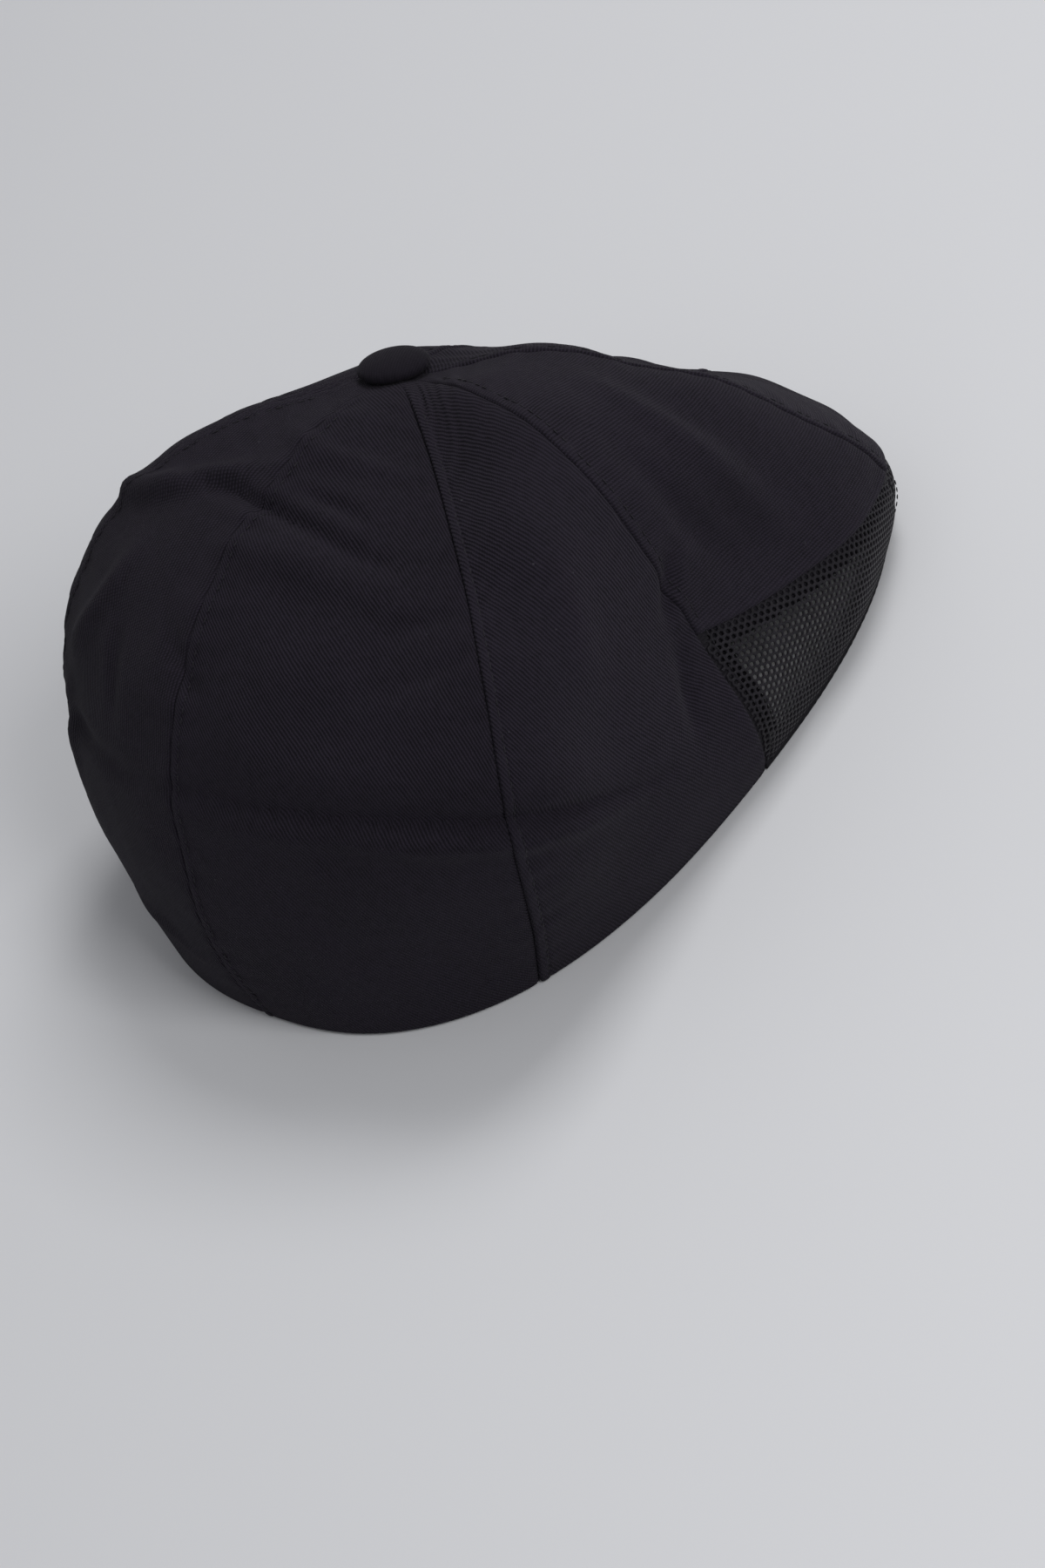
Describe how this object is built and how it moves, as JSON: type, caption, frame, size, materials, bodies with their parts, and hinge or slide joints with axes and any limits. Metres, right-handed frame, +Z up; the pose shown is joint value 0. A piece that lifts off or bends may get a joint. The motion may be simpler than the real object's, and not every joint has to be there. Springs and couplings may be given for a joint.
{
  "type": "kitchen cap",
  "caption": "Soft black kitchen cap with a panelled crown, a cloth-covered button on top, mesh lower fronts and a plain turned hem.",
  "frame": {"origin": "middle of the head opening, in the plane of the hem", "axes": "+Z up from the hem to the button, -Y towards the wearer's front, -X towards the wearer's right"},
  "size_m": [0.1627, 0.202, 0.1018],
  "materials": {
    "twill": "black cotton twill, matt, with fine diagonal lines",
    "button_twill": "black cotton twill drawn over a button",
    "mesh": "black open knitted mesh",
    "tape": "black woven tape",
    "thread": "black sewing thread",
    "sweatband": "black cotton twill, folded",
    "label": "plain white woven satin, blank",
    "button_metal": "plated steel"
  },
  "bodies": {
    "root": {"back_panel_left": "twill", "back_panel_right": "twill", "button_backplate": "button_metal", "button_cover": "button_twill", "button_rivet": "button_metal", "button_shell": "button_metal", "care_label": "label", "front_binding": "tape", "front_mesh_left": "mesh", "front_mesh_right": "mesh", "front_panel_left": "twill", "front_panel_right": "twill", "front_side_mesh_left": "mesh", "front_side_mesh_right": "mesh", "front_side_panel_left": "twill", "front_side_panel_right": "twill", "hem_turning": "twill", "join_tape_front_left": "tape", "join_tape_front_right": "tape", "join_tape_front_side_left": "tape", "join_tape_front_side_right": "tape", "seam_tape_centre_back": "tape", "seam_tape_centre_front": "tape", "seam_tape_front_left": "tape", "seam_tape_front_right": "tape", "seam_tape_rear_left": "tape", "seam_tape_rear_right": "tape", "seam_tape_side_left": "tape", "seam_tape_side_right": "tape", "side_panel_left": "twill", "side_panel_right": "twill", "sweatband": "sweatband", "sweatband_stitch": "thread", "topstitch_centre_back": "thread", "topstitch_centre_front": "thread", "topstitch_front_left": "thread", "topstitch_front_right": "thread", "topstitch_rear_left": "thread", "topstitch_rear_right": "thread", "topstitch_side_left": "thread", "topstitch_side_right": "thread"}
  },
  "joints": []
}
